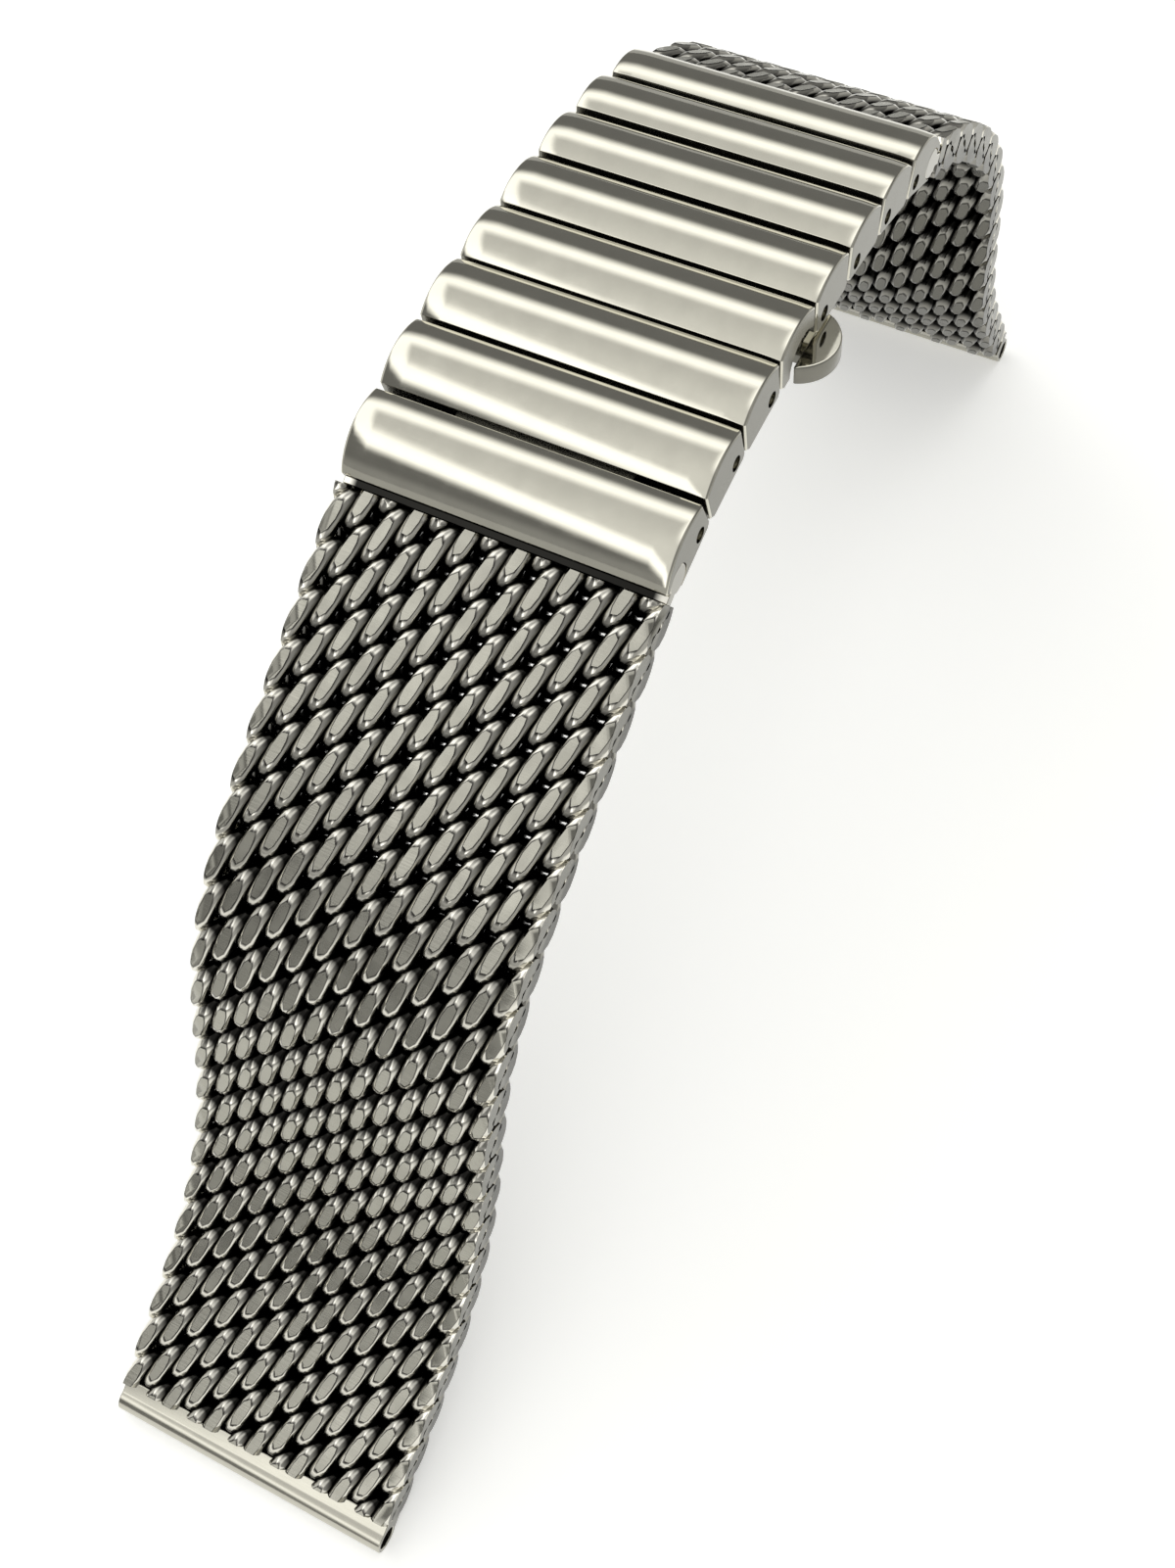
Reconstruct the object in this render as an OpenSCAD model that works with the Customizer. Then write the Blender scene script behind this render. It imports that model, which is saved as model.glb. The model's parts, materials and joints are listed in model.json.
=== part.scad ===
// Woven steel mesh watch band with eight bar links over a butterfly clasp.
// The band stands as an arch on its two spring bar tubes. X runs along the band
// from the back end to the front end, Y across the band and Z up.
// Each half is drawn outwards from the split between the two middle links,
// u along the band and w out of its face, and the back half is mirrored.

/* [Band] */
// Width across the band
band_w = 22; // [20:0.5:24]
// Thickness of the woven mesh
mesh_t = 2.8; // [2.4:0.1:3]
// Length of one mesh segment between its bending lines
seg_l = 6.5; // [6.3:0.1:7]
// Rows of wire legs on each face of one segment
seg_rows = 3; // [3:1:3]
// Distance from one row of wire legs to the next
row_p = 1.6; // [1.55:0.05:1.65]
// Distance across the band from one leg of a row to the next
leg_p = 3.5; // [3.4:0.1:3.6]
// Length of one wire leg
leg_l = 2.1; // [1.9:0.05:2.15]
// Width of one wire leg
leg_w = 0.95; // [0.85:0.05:1]
// Thickness of the mesh under the legs
core_t = 1.2; // [1.1:0.1:1.4]
// Gap between two mesh segments
seg_gap = 0.4; // [0.35:0.05:0.5]

/* [Links] */
// Pitch from one link to the next
link_p = 5; // [4.8:0.1:5.4]
// Height of a link at its long edges
link_t = 2.85; // [2.8:0.05:3.1]
// Rise of the polished crown in the middle of a link
link_crown = 0.8; // [0.7:0.05:0.9]
// Gap between two straight links
link_gap = 0.2; // [0.15:0.05:0.3]
// Chamfer along the lower edges of a link
link_chamfer = 0.35; // [0.3:0.05:0.45]
// Distance of a link's pin from the end that faces the split
pin_in = 1.3; // [1.25:0.05:1.45]
// Height of a link's pin above the link's flat underside
pin_h = 0.95; // [0.9:0.05:1]
// Width of the tongue that enters the next link
tongue_w = 12; // [10:0.5:13]
// Radius of the tongue's round end
tongue_r = 0.8; // [0.75:0.05:0.85]
// Overhang of an end link's lip past its pitch
lip_over = 0.6; // [0.4:0.1:0.8]

/* [Pins] */
// Radius of every link pin
pin_r = 0.45; // [0.4:0.05:0.5]
// Depth that a pin sits below the side face
pin_recess = 0.5; // [0.3:0.1:0.8]
// Radial clearance of a pin that turns in its bore
run_clr = 0.04; // [0.03:0.01:0.06]

/* [Mesh ends] */
// Radius of the round bar that hooks a mesh into its end link
bar_r = 1; // [0.9:0.05:1]
// Distance of the hooked bar from the outer end of its link's pitch
bar_in = 0.7; // [0.6:0.05:0.8]
// Height of the hooked bar above the end link's flat underside
bar_h = 1.25; // [1.2:0.05:1.3]
// Thickness of the strip that joins bar and mesh
neck_t = 0.8; // [0.7:0.05:0.8]
// Outer radius of the tube for the watch's spring bar
tube_r = 1.1; // [1.05:0.05:1.3]
// Radius of the tube's bore
tube_bore_r = 0.8; // [0.6:0.05:0.85]
// Length of the soldered strip between mesh and tube
strip_l = 0.7; // [0.5:0.1:1]

/* [Clasp] */
// Distance from the side of an arm to the side of the base plate
base_inset = 1.3; // [1:0.1:2]
// Thickness of the clasp's base plate
base_t = 0.9; // [0.7:0.05:1.1]
// Thickness of a folding arm
arm_t = 1.3; // [1.2:0.05:1.4]
// Distance from the side of the band to the side of an arm
arm_inset = 1.2; // [1.2:0.1:2]
// Width of each of an arm's two ears
ear_w = 1.6; // [1.2:0.1:1.8]
// Radius of the arms' upper face
arm_top_r = 52; // [50:0.5:54]
// Gap between links and arms
arm_gap = 0.25; // [0.2:0.05:0.3]
// Gap between arms and base plate
plate_gap = 0.15; // [0.1:0.05:0.25]
// Distance of an arm's hinge from the middle of the clasp
hinge_u = 16.2; // [15.8:0.1:16.5]
// Radius of the hinge knuckles at the clasp's two ends
knuckle_r = 1; // [0.95:0.05:1.05]
// Radius of the clasp's two hinge pins
hinge_pin_r = 0.5; // [0.4:0.05:0.55]
// Width of the middle knuckle of each arm
knuckle_w = 10; // [8:0.5:11]
// Thickness of an arm's ear bar
ear_t = 1.1; // [1:0.05:1.15]
// Radius of the round eye at an ear's end
eye_r = 0.8; // [0.75:0.05:0.85]

/* [Latch] */
// Half length of the latch housing along the band
latch_half = 3.2; // [3:0.1:3.3]
// Thickness of the latch housing's cover
cover_t = 0.35; // [0.3:0.05:0.4]
// Length of a pusher's half moon head along the band
head_l = 5.1; // [4.6:0.1:5.4]
// How far a head's flat inner edge lies inside the links' side faces
head_inset = 0.3; // [0.1:0.05:0.35]
// How far a head stands out past the links
head_out = 1.6; // [1.4:0.1:1.8]
// Half width of a pusher's stem
stem_half = 1.1; // [0.9:0.1:1.2]
// Inward travel of a pusher
push_travel = 0.8; // [0.7:0.05:0.85]
// Radius of a pusher's spring
spring_r = 0.4; // [0.35:0.05:0.45]
// Clearance round the sliding parts of the latch
slide_clr = 0.06; // [0.05:0.01:0.08]

/* [Hidden] */
$fn = 48;
// Downward slope of each piece against the clasp, chosen by hand from the arch
link_drop = [1.3, 6, 13, 21];
front_drop = [34, 34, 34, 39, 52, 70, 73, 63, 50, 38, 34];
back_drop = [25, 39, 48, 68, 85, 78, 60, 58];

link_count = len(link_drop);
FRONT = 1;
BACK = -1;

// Link outline in the frame of the link's own pin
link_left = link_gap / 2 - pin_in;
link_right = link_p - pin_in - link_gap / 2;
link_low = -pin_h;
link_top = link_t - pin_h;
link_len = link_right - link_left;
lip_end = link_p - pin_in + lip_over;
crown_r = (link_len * link_len / 4 + link_crown * link_crown) / (2 * link_crown);
slot_clr = 0.2;
tongue_half = tongue_r - 0.1;
bar_u = link_p - pin_in - bar_in;
bar_w = bar_h - pin_h;
bar_clr = 0.05;
lip_clr = 0.1;
lip_under = bar_w + neck_t / 2 + lip_clr;

// Mesh rows
row_first = (seg_l - (seg_rows - 1) * row_p) / 2;
leg_lean = atan(leg_p / (4 * row_p));
leg_root = core_t / 2 - 0.2;
root_cut = lip_over + bar_in + 0.3;
end_trim = 0.3;
end_cut = seg_l - end_trim;
tube_u = end_cut + strip_l + tube_r - 0.2;
strip_half = tube_r - 0.15;

// Clasp widths
arm_w = band_w - 2 * arm_inset;
base_w = arm_w - 2 * base_inset;
notch_clr = 0.2;
ear_in = arm_w / 2 - ear_w;
core_w = 2 * (ear_in - notch_clr);

// Clasp arcs, all round one centre under the middle
arc_w = -arm_gap - arm_top_r;
arm_low_r = arm_top_r - arm_t;
base_top_r = arm_low_r - plate_gap;
hinge_rad = arm_top_r - 0.1 - knuckle_r;
hinge_w = arc_w + sqrt(hinge_rad * hinge_rad - hinge_u * hinge_u);
hinge_clr = 0.15;
arm_start = latch_half + 0.4;
notch_r = 1.9;
notch_u = 0.55;
notch_w = -0.85;
notch_lead = ear_t / 2 - 0.05;
ear_foot_u = arm_start + 0.3;
ear_foot_w = arc_w + arm_top_r - arm_t * 0.65;

// Latch, in the clasp's frame
layer_top = -0.2;
layer_low = -arm_gap - arm_t - plate_gap;
channel_top = layer_top - cover_t;
channel_low = layer_low + 0.2;
head_flat_y = band_w / 2 - head_inset;
head_tip_y = band_w / 2 + head_out;
head_sag = head_tip_y - head_flat_y;
head_r = (head_l * head_l / 4 + head_sag * head_sag) / (2 * head_sag);
wall_y = 1;
stem_end_y = 3.2;
bar_y0 = 4.9;
catch_w = 0.8;
catch_half = latch_half - 0.7;
catch_clr = 0.1;
tab_y0 = bar_y0 + catch_w + catch_clr;
tab_w = 0.9;
tab_t = 0.4;
tab_u = latch_half - 1.2;
tab_room = 0.15;
spring_bore_r = spring_r - 0.2;

// Directions and points of the half chains
function along(a) = [cos(a), -sin(a)];
function out(a) = [sin(a), cos(a)];
function local(p, a, q) = p + q[0] * along(a) + q[1] * out(a);
function chain(p, drops, step, n) = n == 0 ? p : chain(p, drops, step, n - 1) + step * along(drops[n - 1]);
function drops(side) = side == FRONT ? front_drop : back_drop;
function link_pin_at(i) = chain(local([0, 0], link_drop[0], [pin_in, pin_h]), link_drop, link_p, i);
bar_at = local(link_pin_at(link_count - 1), link_drop[link_count - 1], [bar_u, bar_w]);
function mesh_at(side, i) = chain(bar_at, drops(side), seg_l, i);
function tube_at(side) = local(mesh_at(side, len(drops(side)) - 1), drops(side)[len(drops(side)) - 1], [tube_u, 0]);

// The whole band leans so that both tubes rest on Z = 0, with the box centred on X = 0
front_end = tube_at(FRONT);
back_end = tube_at(BACK);
lean = atan((front_end[1] - back_end[1]) / (front_end[0] + back_end[0]));
function leant(p) = [p[0] * cos(lean) + p[1] * sin(lean), p[1] * cos(lean) - p[0] * sin(lean)];
shift_x = -(leant(front_end)[0] + leant([-back_end[0], back_end[1]])[0]) / 2;
shift_z = tube_r - leant(front_end)[1];

module placed(side) {
    translate([shift_x, 0, shift_z]) rotate([0, lean, 0]) mirror([side == BACK ? 1 : 0, 0, 0]) children();
}

module at_joint(p, drop) {
    translate([p[0], 0, p[1]]) rotate([0, drop, 0]) children();
}

// A flat outline in u and w, drawn across the whole band or on both sides from y0 to y1
module across(width) {
    rotate([90, 0, 0]) linear_extrude(width, center = true) children();
}

module both_sides(y0, y1) {
    for (s = [-1, 1]) translate([0, s * (y0 + y1) / 2, 0]) across(y1 - y0) children();
}

module rod(r, length) {
    rotate([90, 0, 0]) cylinder(r = r, h = length, center = true);
}

module box2d(u0, u1, w0, w1) {
    translate([u0, w0]) square([u1 - u0, w1 - w0]);
}

// A bar from p to q with straight ends
module bar2d(p, q, t) {
    d = (q - p) / norm(q - p);
    n = [-d[1], d[0]] * t / 2;
    polygon([p - n, q - n, q + n, p + n]);
}

// Links
module link_outline(right) {
    intersection() {
        polygon([
            [link_left + link_chamfer, link_low],
            [right - link_chamfer, link_low],
            [right, link_low + link_chamfer],
            [right, link_top + link_crown],
            [link_left, link_top + link_crown],
            [link_left, link_low + link_chamfer]]);
        translate([(link_left + link_right) / 2, link_top + link_crown - crown_r]) circle(crown_r, $fn = 180);
    }
}

module tongue() {
    across(tongue_w) difference() {
        union() {
            translate([link_p, 0]) circle(tongue_r);
            box2d(link_right - link_gap, link_p, -tongue_half, tongue_half);
        }
        translate([link_p, 0]) circle(pin_r + run_clr);
    }
}

module tongue_slot() {
    across(tongue_w + slot_clr) box2d(link_left - 1, tongue_r + slot_clr, link_low - 1, tongue_r + slot_clr);
}

// Room for an arm's ear under one of the two middle links
module ear_notch2d() {
    translate([notch_u, notch_w]) circle(notch_r);
    box2d(link_left - 1, 0, link_low - 1, notch_lead);
}

module middle_link(side) {
    open_y = side == FRONT ? band_w / 2 + 1 : arm_w / 2 + notch_clr;
    difference() {
        union() {
            across(band_w) link_outline(link_right);
            tongue();
        }
        both_sides(core_w / 2, open_y) ear_notch2d();
        rod(pin_r, band_w + 2);
    }
}

module plain_link() {
    difference() {
        union() {
            across(band_w) link_outline(link_right);
            tongue();
        }
        tongue_slot();
        rod(pin_r, band_w + 2);
    }
}

// The lip of an end link reaches over the mesh, with a round groove under it for the hooked bar
module end_link() {
    difference() {
        across(band_w) link_outline(lip_end);
        tongue_slot();
        rod(pin_r, band_w + 2);
        across(band_w + 2) {
            translate([bar_u, bar_w]) circle(bar_r + bar_clr);
            box2d(bar_u, lip_end + 1, link_low - 1, lip_under);
        }
    }
}

module link(side, i) {
    color("gainsboro") placed(side) at_joint(link_pin_at(i), link_drop[i]) {
        if (i == 0) middle_link(side);
        else if (i < link_count - 1) plain_link();
        else end_link();
    }
}

module link_pin(side, i) {
    color("silver") placed(side) at_joint(link_pin_at(i), link_drop[i]) rod(pin_r, band_w - 2 * pin_recess);
}

// Mesh
module mesh_bar(side) {
    color("darkgray") placed(side) at_joint(bar_at, drops(side)[0]) across(band_w) {
        circle(bar_r);
        box2d(0, root_cut, -neck_t / 2, neck_t / 2);
    }
}

// One row of leaning wire legs on a face, with a leg in the middle of the band or beside it
module leg_row(lean, face, centred) {
    count = 2 * floor(band_w / 2 / leg_p) + (centred ? 1 : 0);
    low = face > 0 ? leg_root : -mesh_t / 2;
    for (k = [0:count - 1])
        translate([0, (k - (count - 1) / 2) * leg_p, low]) rotate([0, 0, lean])
            translate([-leg_l / 2, -leg_w / 2, 0]) cube([leg_l, leg_w, mesh_t / 2 - leg_root]);
}

module slab(low, high, t) {
    translate([low, -band_w / 2, -t / 2]) cube([high - low, band_w, t]);
}

module mesh_segment(side, i) {
    low = i == 0 ? root_cut : seg_gap / 2;
    high = i == len(drops(side)) - 1 ? end_cut : seg_l - seg_gap / 2;
    color("gray") placed(side) at_joint(mesh_at(side, i), drops(side)[i]) {
        slab(low, high, core_t);
        intersection() {
            for (row = [0:seg_rows - 1], face = [-1, 1])
                translate([row_first + row * row_p, 0, 0])
                    leg_row(-side * face * leg_lean, face, (row + (face > 0 ? 1 : 0)) % 2 == 0);
            slab(low, high, 2 * mesh_t);
        }
    }
}

module lug_tube(side) {
    n = len(drops(side)) - 1;
    color("silver") placed(side) at_joint(mesh_at(side, n), drops(side)[n]) across(band_w) difference() {
        union() {
            translate([tube_u, 0]) circle(tube_r);
            box2d(end_cut, tube_u, -strip_half, strip_half);
        }
        translate([tube_u, 0]) circle(tube_bore_r);
    }
}

// Clasp
module arc2d(r_top, t, u0, u1) {
    intersection() {
        translate([0, arc_w]) difference() {
            circle(r_top, $fn = 360);
            circle(r_top - t, $fn = 360);
        }
        box2d(u0, u1, hinge_w - 4, 1);
    }
}

module base_half() {
    both_sides(knuckle_w / 2 + hinge_clr, base_w / 2) difference() {
        union() {
            arc2d(base_top_r, base_t, 0, hinge_u);
            translate([hinge_u, hinge_w]) circle(knuckle_r);
        }
        translate([hinge_u, hinge_w]) circle(hinge_pin_r);
    }
    across(knuckle_w + 2 * hinge_clr) difference() {
        arc2d(base_top_r, base_t, 0, hinge_u);
        translate([hinge_u, hinge_w]) circle(knuckle_r + hinge_clr);
    }
}

module clasp_base() {
    color("lightgray") for (side = [FRONT, BACK]) placed(side) base_half();
}

module arm_ears() {
    both_sides(ear_in, arm_w / 2) difference() {
        union() {
            translate(link_pin_at(0)) circle(eye_r);
            bar2d(link_pin_at(0), [ear_foot_u, ear_foot_w], ear_t);
        }
        translate(link_pin_at(0)) circle(pin_r + run_clr);
    }
}

module arm(side) {
    color("lightgray") placed(side) {
        both_sides(knuckle_w / 2, arm_w / 2) difference() {
            arc2d(arm_top_r, arm_t, arm_start, hinge_u);
            translate([hinge_u, hinge_w]) circle(knuckle_r + hinge_clr);
        }
        across(knuckle_w) difference() {
            union() {
                arc2d(arm_top_r, arm_t, arm_start, hinge_u);
                translate([hinge_u, hinge_w]) circle(knuckle_r);
            }
            translate([hinge_u, hinge_w]) circle(hinge_pin_r + run_clr);
        }
        arm_ears();
        both_sides(tab_y0, tab_y0 + tab_w) box2d(tab_u, arm_start + 0.3, channel_low, channel_low + tab_t);
    }
}

module arm_pin(side) {
    color("silver") placed(side) translate([hinge_u, 0, hinge_w]) rod(hinge_pin_r, base_w);
}

// Latch
module base_circle2d() {
    translate([0, arc_w]) circle(base_top_r, $fn = 360);
}

module latch_housing() {
    color("lightgray") placed(FRONT) difference() {
        across(core_w) difference() {
            box2d(-latch_half, latch_half, layer_low - 0.5, channel_top);
            base_circle2d();
        }
        both_sides(wall_y, core_w / 2 + 1)
            box2d(-stem_half - slide_clr, stem_half + slide_clr, channel_low - slide_clr, 0);
        both_sides(bar_y0 - push_travel - slide_clr, bar_y0 + catch_w + slide_clr)
            box2d(-catch_half - slide_clr, catch_half + slide_clr, channel_low - slide_clr, 0);
        both_sides(tab_y0 - tab_room / 3, tab_y0 + tab_w + tab_room)
            for (m = [0, 1]) mirror([m, 0]) box2d(tab_u - tab_room, latch_half + 1, channel_low - slide_clr, 0);
    }
}

module latch_cover() {
    color("gainsboro") placed(FRONT) difference() {
        across(core_w) box2d(-latch_half, latch_half, channel_top, layer_top);
        both_sides(tab_y0 - tab_room / 3, tab_y0 + tab_w + tab_room)
            for (m = [0, 1]) mirror([m, 0]) box2d(tab_u - tab_room, latch_half + 1, channel_top - 1, 0);
    }
}

module pusher(s) {
    color("white") placed(FRONT) mirror([0, s > 0 ? 0 : 1, 0]) {
        translate([0, 0, layer_low]) linear_extrude(layer_top - layer_low) intersection() {
            translate([0, head_tip_y - head_r]) circle(head_r);
            translate([-head_l / 2, head_flat_y]) square([head_l, head_sag + 1]);
        }
        translate([-stem_half, stem_end_y, channel_low])
            cube([2 * stem_half, head_flat_y + 0.2 - stem_end_y, channel_top - slide_clr - channel_low]);
        translate([-catch_half, bar_y0, channel_low + tab_t + catch_clr])
            cube([2 * catch_half, catch_w, channel_top - slide_clr - channel_low - tab_t - catch_clr]);
    }
}

module pusher_spring(s) {
    color("dimgray") placed(FRONT) translate([0, s * (wall_y + stem_end_y) / 2, (channel_low + channel_top) / 2])
        difference() {
            rod(spring_r, stem_end_y - wall_y);
            rod(spring_bore_r, stem_end_y - wall_y + 1);
        }
}

clasp_base();
latch_housing();
latch_cover();
arm(FRONT);  // front_arm
arm(BACK);  // back_arm
arm_pin(FRONT);  // front_arm_pin
arm_pin(BACK);  // back_arm_pin
pusher(1);  // pusher_right
pusher(-1);  // pusher_left
pusher_spring(1);  // pusher_spring_right
pusher_spring(-1);  // pusher_spring_left
for (i = [1:link_count]) {
    link(FRONT, i - 1);
    link(BACK, i - 1);
    link_pin(FRONT, i - 1);
    link_pin(BACK, i - 1);
}
mesh_bar(FRONT);  // front_mesh_bar
mesh_bar(BACK);  // back_mesh_bar
for (i = [1:len(front_drop)])
    mesh_segment(FRONT, i - 1);
for (i = [1:len(back_drop)])
    mesh_segment(BACK, i - 1);
lug_tube(FRONT);  // front_lug_tube
lug_tube(BACK);  // back_lug_tube
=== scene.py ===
"""A woven steel watch band with polished bar links, dressed over its CAD frame."""

import json
import math

import bmesh
import bpy
from bpy.props import FloatProperty, FloatVectorProperty, IntProperty, PointerProperty
from mathutils import Matrix, Vector


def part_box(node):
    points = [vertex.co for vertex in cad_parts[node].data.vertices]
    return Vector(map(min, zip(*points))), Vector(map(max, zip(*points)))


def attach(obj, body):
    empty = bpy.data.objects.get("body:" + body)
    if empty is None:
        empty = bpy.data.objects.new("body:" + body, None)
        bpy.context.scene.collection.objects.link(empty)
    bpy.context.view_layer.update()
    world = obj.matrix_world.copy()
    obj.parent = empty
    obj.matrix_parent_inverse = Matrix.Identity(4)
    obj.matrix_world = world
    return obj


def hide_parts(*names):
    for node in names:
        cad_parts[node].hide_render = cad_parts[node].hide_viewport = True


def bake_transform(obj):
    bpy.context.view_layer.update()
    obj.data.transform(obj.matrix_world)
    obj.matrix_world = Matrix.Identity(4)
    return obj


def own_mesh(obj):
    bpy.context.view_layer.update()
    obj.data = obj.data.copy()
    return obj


bl_info = {
    "name": "Woven Watch Band",
    "version": (1, 0, 0),
    "blender": (4, 5, 0),
    "location": "3D View > Sidebar > Band",
    "description": "Dresses a woven steel watch band with bar links over its CAD frame",
    "category": "Object",
}

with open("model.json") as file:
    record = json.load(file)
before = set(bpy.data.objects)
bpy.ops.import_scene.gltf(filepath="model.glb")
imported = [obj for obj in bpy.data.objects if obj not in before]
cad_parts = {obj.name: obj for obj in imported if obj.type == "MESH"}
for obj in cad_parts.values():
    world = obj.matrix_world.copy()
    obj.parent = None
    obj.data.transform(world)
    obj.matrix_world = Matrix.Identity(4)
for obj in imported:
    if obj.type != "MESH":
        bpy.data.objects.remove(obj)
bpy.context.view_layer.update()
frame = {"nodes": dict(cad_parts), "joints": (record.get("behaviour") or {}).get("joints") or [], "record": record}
JOINTS = {joint["name"]: joint for joint in frame["joints"]}

MM = 0.001
SIDES = {"front": 1, "back": -1}
LINKS = 4
SEGMENTS = {"front": 11, "back": 8}

# A link in its own frame: u outwards along the band, w out of its face, from the link's own pin
LINK_PITCH = 5.0 * MM
LINK_LEFT = -1.2 * MM
LINK_RIGHT = 3.6 * MM
LINK_LOW = -0.95 * MM
LIP_END = 4.3 * MM
LIP_UNDER = 0.8 * MM
LINK_CHAMFER = 0.35 * MM
CROWN_R = 4.0 * MM
CROWN_U = 1.2 * MM
CROWN_W = -1.3 * MM
HALF_WIDTH = 11.0 * MM
TONGUE_R = 0.8 * MM
TONGUE_HALF = 0.7 * MM
TONGUE_WIDTH = 12.0 * MM
SLOT_CLEAR = 0.2 * MM
BAR_U = 3.0 * MM
BAR_W = 0.3 * MM
BAR_R = 1.0 * MM
PIN_R = 0.45 * MM
PIN_RECESS = 0.5 * MM
HINGE_PIN_R = 0.5 * MM
NOTCH_U = 0.55 * MM
NOTCH_W = -0.85 * MM
NOTCH_R = 1.9 * MM
NOTCH_LEAD = 0.5 * MM
NOTCH_IN = 8.0 * MM
NOTCH_OUT = {"front": 12.0 * MM, "back": 10.0 * MM}
NOTCH_LEAD_U = 0.1 * MM
TONGUE_ROOT = 0.6 * MM
GROOVE_CLEAR = 0.05 * MM
PIN_SHORTER = 0.05 * MM
SMALLEST_EDGE = 0.02 * MM
CUT_HALF = 12.0 * MM

# The cosine over which a face counts as square to a direction
SQUARE_ON = 0.95

# The mesh, by distance along its centre line from the bar that it hooks on
MESH_START = 1.6 * MM
TUBE_REACH = 1.3 * MM
MESH_HALF = 1.4 * MM
COIL_PAST_END = 0.9 * MM

# A spring's wire
SPRING_WIRE_R = 0.09 * MM

# The photograph's camera: millimetres, and its own right and back directions
CAMERA_AT = (58.857, 42.845, 142.795)
CAMERA_RIGHT = (-0.45511, 0.88542, -0.09442)
CAMERA_BACK = (0.375, 0.28676, 0.88156)
CAMERA_LENS = 44.714
CAMERA_SENSOR = 36.0


def linear(code):
    """An sRGB hex colour as linear red, green and blue."""
    parts = [int(code[i:i + 2], 16) / 255 for i in (1, 3, 5)]
    return tuple(c / 12.92 if c <= 0.04045 else ((c + 0.055) / 1.055) ** 2.4 for c in parts)


def length(name, description, default):
    """A length that a user would change."""
    return FloatProperty(
        name=name, description=description, default=default, min=0.0, unit="LENGTH", precision=5)


def colour(name, description, code):
    """A colour that a user would change."""
    return FloatVectorProperty(
        name=name, description=description, default=linear(code), size=3, min=0.0, max=1.0, subtype="COLOR")


class BandSizes(bpy.types.PropertyGroup):
    """Sizes of what shows on the band"""

    link_edge: length("Link edge", "Radius along a link's two long upper edges", 0.08 * MM)
    link_end: length("Link end", "Radius round a link's two end faces", 0.2 * MM)
    link_roll: length("Buffed length", "Length over which a link's crown falls towards each end", 1.5 * MM)
    link_fall: length("Buffed fall", "How far a link's crown falls at its ends", 0.07 * MM)
    pin_hole: length("Pin hole", "Radius of the hole round a link pin", 0.52 * MM)
    first_coil: length("First coil", "Distance of the first coil from the hook bar", 0.52 * MM)
    coil_pitch: length("Coil pitch", "Distance from one coil to the next", 1.592 * MM)
    turn_length: length("Turn length", "Distance across the band from one turn to the next", 3.5 * MM)
    wire_radius: length("Wire radius", "Radius of the coiled wire", 0.66 * MM)
    loop_reach: length("Loop reach", "Reach of a loop along the band, to the wire's middle", 1.7 * MM)
    loop_half: length("Loop half height", "Height of the wire's middle over the mesh's middle", 0.865 * MM)
    turn_steps: IntProperty(
        name="Steps in a turn", description="Straight steps in one turn of a coil", default=20, min=8)
    wire_sides: IntProperty(name="Wire sides", description="Sides of the coiled wire", default=12, min=6)
    clasp_edge: length("Clasp edge", "Bevel along the edges of the clasp's parts", 0.08 * MM)
    button_edge: length("Button edge", "Rounding along the edges of the two pushers", 0.22 * MM)
    spring_turns: IntProperty(name="Spring turns", description="Turns of a pusher's spring", default=6, min=3)


class BandColours(bpy.types.PropertyGroup):
    """Colours of the band's finishes"""

    polished: colour("Polished links", "Mirror polished steel of the links and buttons", "#D6D3C6")
    wire: colour("Woven wire", "Polished steel wire of the mesh", "#E0DDD3")
    ground: colour("Ground wire", "Flats that are ground on the mesh", "#A8A69C")
    satin: colour("Clasp", "Satin steel of the clasp", "#B9B8B2")
    pin: colour("Pins", "Turned steel of the pins", "#8E8D88")
    spring: colour("Springs", "Drawn wire of the springs", "#77767A")
    floor: colour("Floor", "Pale floor", "#F4F4F2")


def add_node(tree, kind, inputs=None, **settings):
    """Adds a node with its settings. Each input is a value, an output socket or a node."""
    made = tree.nodes.new(kind)
    for key, value in settings.items():
        setattr(made, key, value)
    for socket, value in (inputs or {}).items():
        for item in value if isinstance(value, list) else [value]:
            if isinstance(item, bpy.types.Node):
                item = item.outputs[0]
            if isinstance(item, bpy.types.NodeSocket):
                tree.links.new(item, made.inputs[socket])
            else:
                made.inputs[socket].default_value = item
    return made


def put(name, mesh):
    """Links a new object with this mesh to the scene."""
    made = bpy.data.objects.new(name, mesh)
    bpy.context.scene.collection.objects.link(made)
    return made


def bake(obj):
    """Turns an object's modifiers into its plain mesh."""
    graph = bpy.context.evaluated_depsgraph_get()
    mesh = bpy.data.meshes.new_from_object(obj.evaluated_get(graph))
    old = obj.data
    obj.modifiers.clear()
    obj.data = mesh
    mesh.name = obj.name
    bpy.data.meshes.remove(old)
    if not mesh.polygons:
        raise RuntimeError(obj.name + " has no faces left")


def skin(name, rings):
    """A closed solid through rings of points that all have the same count."""
    count = len(rings[0])
    points = [p for ring in rings for p in ring]
    faces = [tuple(range(count)), tuple(range(len(points) - 1, len(points) - count - 1, -1))]
    for k in range(len(rings) - 1):
        for i in range(count):
            j = (i + 1) % count
            faces.append((k * count + i, (k + 1) * count + i, (k + 1) * count + j, k * count + j))
    mesh = bpy.data.meshes.new(name)
    mesh.from_pydata(points, [], faces)
    shape = bmesh.new()
    shape.from_mesh(mesh)
    bmesh.ops.recalc_face_normals(shape, faces=shape.faces)
    shape.to_mesh(mesh)
    shape.free()
    return put(name, mesh)


def across(name, outline, y0, y1):
    """A solid with this outline in u and w, from y0 to y1 across the band."""
    return skin(name, [[(u, y, w) for u, w in outline] for y in (y0, y1)])


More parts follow.
